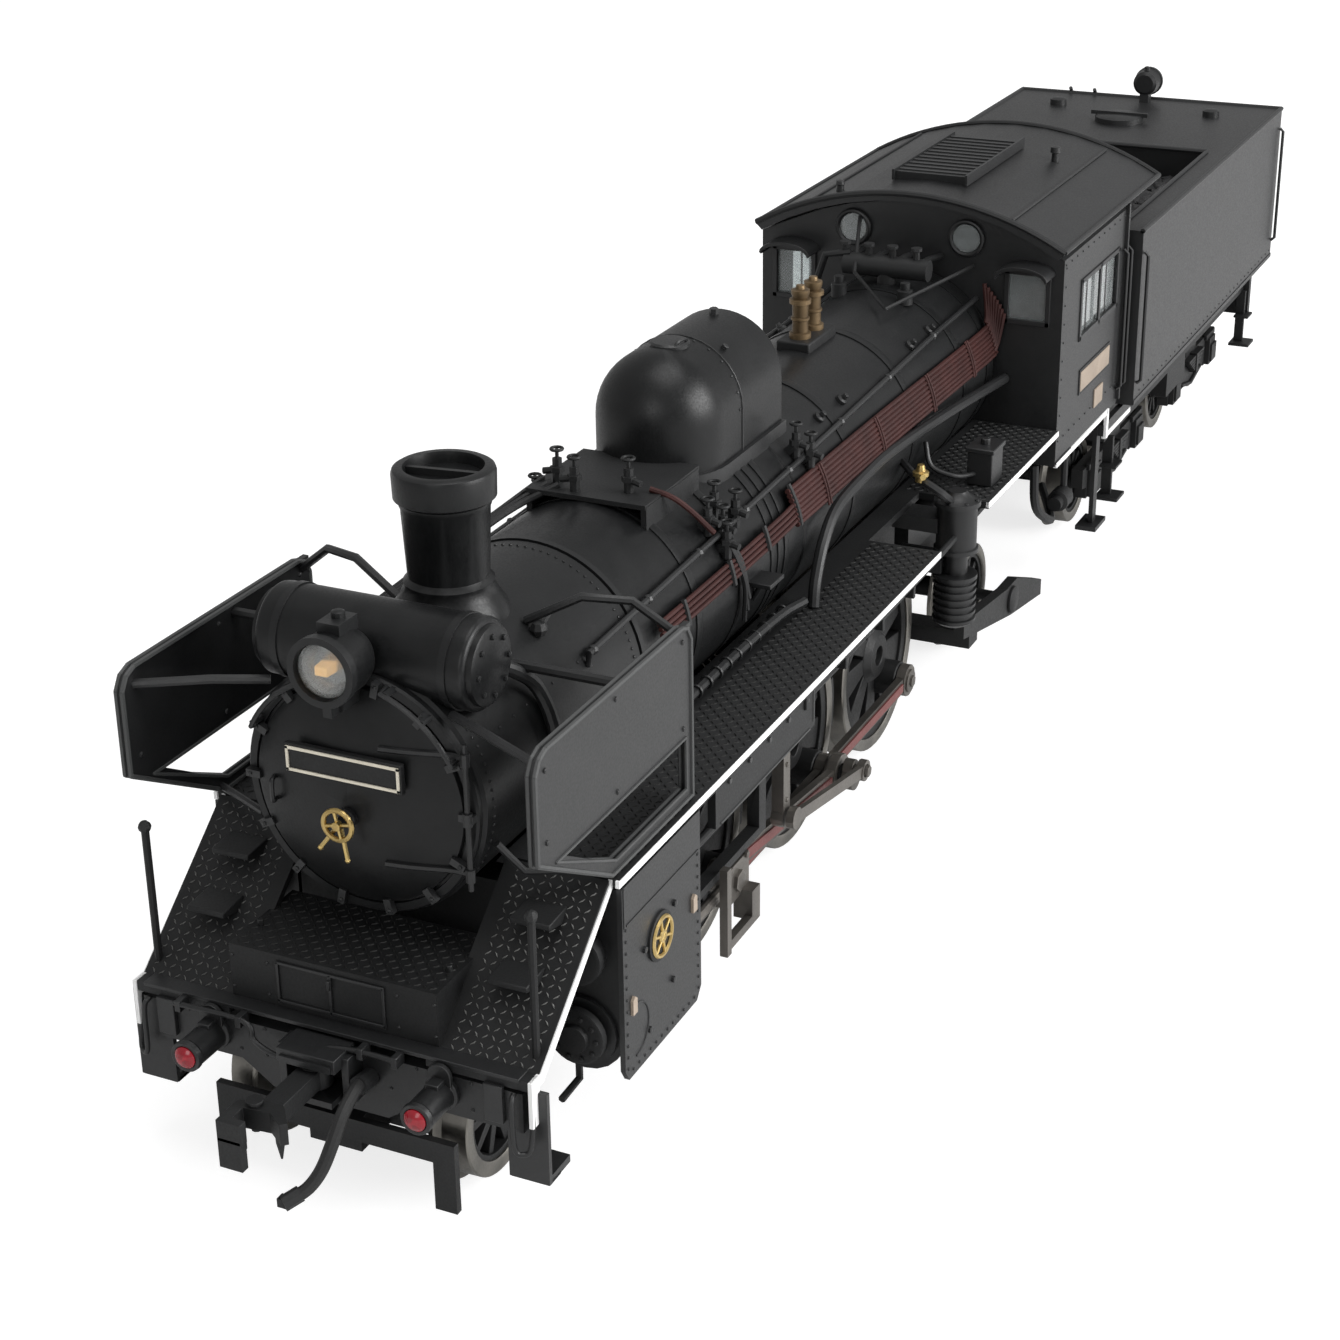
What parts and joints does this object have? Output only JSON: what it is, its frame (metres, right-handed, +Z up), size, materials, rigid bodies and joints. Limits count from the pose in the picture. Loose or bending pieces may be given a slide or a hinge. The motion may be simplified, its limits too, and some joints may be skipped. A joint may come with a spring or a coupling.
{
  "type": "model steam locomotive",
  "caption": "Black scale-model steam locomotive with tender: boiler on a wheeled chassis with rods, trucks, smoke deflectors and cab, driven by a worm-geared motor.",
  "frame": {"origin": "centre of the overall box at the level of the flange bottoms", "axes": "+X forward along the track, +Y to the left, +Z up"},
  "size_m": [0.2324, 0.0364, 0.0501],
  "materials": {
    "black_paint": "satin black paint",
    "black_casting": "matte black paint",
    "steel": "blackened steel, bright treads",
    "rod_steel": "satin steel with painted flutes",
    "brass": "satin brass",
    "oxide_red": "matte oxide red paint",
    "coal": "matte black",
    "clear": "clear ribbed lens",
    "rubber": "matte black rubber"
  },
  "bodies": {
    "chassis": {"air_compressor": "black_casting", "boiler_shell": "black_paint", "brake_hose": "rubber", "buffer_beam": "black_paint", "cab_body": "black_paint", "cab_roof": "black_paint", "chimney": "black_paint", "cylinder_block_left": "black_paint", "cylinder_block_right": "black_paint", "feed_pump": "black_casting", "feedwater_heater": "black_paint", "front_deck": "black_casting", "headlight_housing": "black_paint", "headlight_lens": "clear", "keeper_plate": "black_casting", "main_frame": "black_casting", "motion_bracket_left": "black_casting", "motion_bracket_right": "black_casting", "motor": "steel", "pipe_bundle": "oxide_red", "running_board_left": "black_casting", "running_board_right": "black_casting", "safety_valves": "brass", "smoke_deflector_left": "black_paint", "smoke_deflector_right": "black_paint", "smokebox_door": "black_paint", "steam_dome": "black_paint"},
    "drive": {"driver_wheelset_main": "steel", "drive_gear": "brass"},
    "front_drivers": {"driver_wheelset_front": "steel"},
    "rear_drivers": {"driver_wheelset_rear": "steel"},
    "worm_shaft": {"motor_shaft": "steel"},
    "pony": {"pony_truck": "black_casting"},
    "pony_axle": {"pony_wheelset": "steel"},
    "trailing": {"trailing_truck": "black_casting"},
    "trailing_axle": {"trailing_wheelset": "steel"},
    "coupler_front": {"front_coupler": "black_casting"},
    "coupler_rear": {"rear_coupler": "black_casting"},
    "tender": {"tender_frame": "black_casting", "tender_tank": "black_paint", "coal_load": "coal", "tender_lamp": "black_paint", "drawbar": "steel"},
    "bogie_front": {"front_bogie": "black_casting"},
    "bogie_rear": {"rear_bogie": "black_casting"},
    "front_bogie_axle_1": {"front_bogie_wheelset_1": "steel"},
    "front_bogie_axle_2": {"front_bogie_wheelset_2": "steel"},
    "rear_bogie_axle_1": {"rear_bogie_wheelset_1": "steel"},
    "rear_bogie_axle_2": {"rear_bogie_wheelset_2": "steel"},
    "side_rod_left": {"side_rod_left": "rod_steel"},
    "main_rod_left": {"main_rod_left": "rod_steel"},
    "eccentric_rod_left": {"eccentric_rod_left": "rod_steel"},
    "expansion_link_left": {"expansion_link_left": "rod_steel"},
    "crosshead_left": {"crosshead_left": "rod_steel"},
    "side_rod_right": {"side_rod_right": "rod_steel"},
    "main_rod_right": {"main_rod_right": "rod_steel"},
    "eccentric_rod_right": {"eccentric_rod_right": "rod_steel"},
    "expansion_link_right": {"expansion_link_right": "rod_steel"},
    "crosshead_right": {"crosshead_right": "rod_steel"}
  },
  "joints": [
    {"name": "drive", "type": "hinge", "parent": "chassis", "child": "drive", "pos_m": [0.0433, 0, 0.0104], "axis": [0, 1, 0], "continuous": true},
    {"name": "front_drivers_turn", "type": "hinge", "parent": "chassis", "child": "front_drivers", "pos_m": [0.0648, 0, 0.0104], "axis": [0, 1, 0], "continuous": true},
    {"name": "rear_drivers_turn", "type": "hinge", "parent": "chassis", "child": "rear_drivers", "pos_m": [0.0218, 0, 0.0104], "axis": [0, 1, 0], "continuous": true},
    {"name": "worm_turn", "type": "hinge", "parent": "chassis", "child": "worm_shaft", "pos_m": [0.0433, 0, 0.016], "axis": [1, 0, 0], "continuous": true},
    {"name": "side_rod_left_pivot", "type": "hinge", "parent": "drive", "child": "side_rod_left", "pos_m": [0.04112, 0.01165, 0.00729], "axis": [0, 1, 0], "continuous": true},
    {"name": "main_rod_left_pivot", "type": "hinge", "parent": "drive", "child": "main_rod_left", "pos_m": [0.04112, 0.01295, 0.00729], "axis": [0, 1, 0], "continuous": true},
    {"name": "eccentric_rod_left_pivot", "type": "hinge", "parent": "drive", "child": "eccentric_rod_left", "pos_m": [0.0413, 0.01565, 0.0082], "axis": [0, 1, 0], "continuous": true},
    {"name": "expansion_link_left_rock", "type": "hinge", "parent": "chassis", "child": "expansion_link_left", "pos_m": [0.0577, 0.01425, 0.0193], "axis": [0, 1, 0], "range_deg": [-15, 15]},
    {"name": "crosshead_left_slide", "type": "slide", "parent": "chassis", "child": "crosshead_left", "axis": [1, 0, 0], "range_m": [-0.00144, 0.00616]},
    {"name": "side_rod_right_pivot", "type": "hinge", "parent": "drive", "child": "side_rod_right", "pos_m": [0.04641, -0.01165, 0.00822], "axis": [0, 1, 0], "continuous": true},
    {"name": "main_rod_right_pivot", "type": "hinge", "parent": "drive", "child": "main_rod_right", "pos_m": [0.04641, -0.01295, 0.00822], "axis": [0, 1, 0], "continuous": true},
    {"name": "eccentric_rod_right_pivot", "type": "hinge", "parent": "drive", "child": "eccentric_rod_right", "pos_m": [0.0455, -0.01565, 0.0084], "axis": [0, 1, 0], "continuous": true},
    {"name": "expansion_link_right_rock", "type": "hinge", "parent": "chassis", "child": "expansion_link_right", "pos_m": [0.0577, -0.01425, 0.0193], "axis": [0, 1, 0], "range_deg": [-15, 15]},
    {"name": "crosshead_right_slide", "type": "slide", "parent": "chassis", "child": "crosshead_right", "axis": [1, 0, 0], "range_m": [-0.00683, 0.00077]},
    {"name": "pony_swivel", "type": "hinge", "parent": "chassis", "child": "pony", "pos_m": [0.0815, 0, 0.0044], "axis": [0, 0, 1], "range_deg": [-4, 4]},
    {"name": "pony_axle_roll", "type": "hinge", "parent": "pony", "child": "pony_axle", "pos_m": [0.0986, 0, 0.00628], "axis": [0, 1, 0], "continuous": true},
    {"name": "trailing_swivel", "type": "hinge", "parent": "chassis", "child": "trailing", "pos_m": [0.004, 0, 0.0062], "axis": [0, 0, 1], "range_deg": [-5, 5]},
    {"name": "trailing_axle_roll", "type": "hinge", "parent": "trailing", "child": "trailing_axle", "pos_m": [-0.0062, 0, 0.00628], "axis": [0, 1, 0], "continuous": true},
    {"name": "coupler_front_swing", "type": "hinge", "parent": "chassis", "child": "coupler_front", "pos_m": [0.1073, 0, 0.0117], "axis": [0, 0, 1], "range_deg": [-8, 8]},
    {"name": "tender_yaw", "type": "hinge", "parent": "chassis", "child": "tender", "pos_m": [-0.0336, 0, 0.0078], "axis": [0, 0, 1], "range_deg": [-4, 4]},
    {"name": "bogie_front_swivel", "type": "hinge", "parent": "tender", "child": "bogie_front", "pos_m": [-0.0545, 0, 0.008], "axis": [0, 0, 1], "range_deg": [-8, 8]},
    {"name": "front_bogie_axle_1_roll", "type": "hinge", "parent": "bogie_front", "child": "front_bogie_axle_1", "pos_m": [-0.045, 0, 0.00628], "axis": [0, 1, 0], "continuous": true},
    {"name": "front_bogie_axle_2_roll", "type": "hinge", "parent": "bogie_front", "child": "front_bogie_axle_2", "pos_m": [-0.064, 0, 0.00628], "axis": [0, 1, 0], "continuous": true},
    {"name": "bogie_rear_swivel", "type": "hinge", "parent": "tender", "child": "bogie_rear", "pos_m": [-0.092, 0, 0.008], "axis": [0, 0, 1], "range_deg": [-8, 8]},
    {"name": "rear_bogie_axle_1_roll", "type": "hinge", "parent": "bogie_rear", "child": "rear_bogie_axle_1", "pos_m": [-0.0825, 0, 0.00628], "axis": [0, 1, 0], "continuous": true},
    {"name": "rear_bogie_axle_2_roll", "type": "hinge", "parent": "bogie_rear", "child": "rear_bogie_axle_2", "pos_m": [-0.1015, 0, 0.00628], "axis": [0, 1, 0], "continuous": true},
    {"name": "coupler_rear_swing", "type": "hinge", "parent": "tender", "child": "coupler_rear", "pos_m": [-0.1105, 0, 0.0117], "axis": [0, 0, 1], "range_deg": [-12, 12]}
  ],
  "couplings": [
    {"joint": "front_drivers_turn", "follows": "drive", "ratio": 1},
    {"joint": "rear_drivers_turn", "follows": "drive", "ratio": 1},
    {"joint": "worm_turn", "follows": "drive", "ratio": -19},
    {"joint": "side_rod_left_pivot", "follows": "drive", "ratio": -1},
    {"joint": "main_rod_left_pivot", "follows": "drive", "ratio": -1},
    {"joint": "eccentric_rod_left_pivot", "follows": "drive", "ratio": -1},
    {"joint": "side_rod_right_pivot", "follows": "drive", "ratio": -1},
    {"joint": "main_rod_right_pivot", "follows": "drive", "ratio": -1},
    {"joint": "eccentric_rod_right_pivot", "follows": "drive", "ratio": -1}
  ]
}
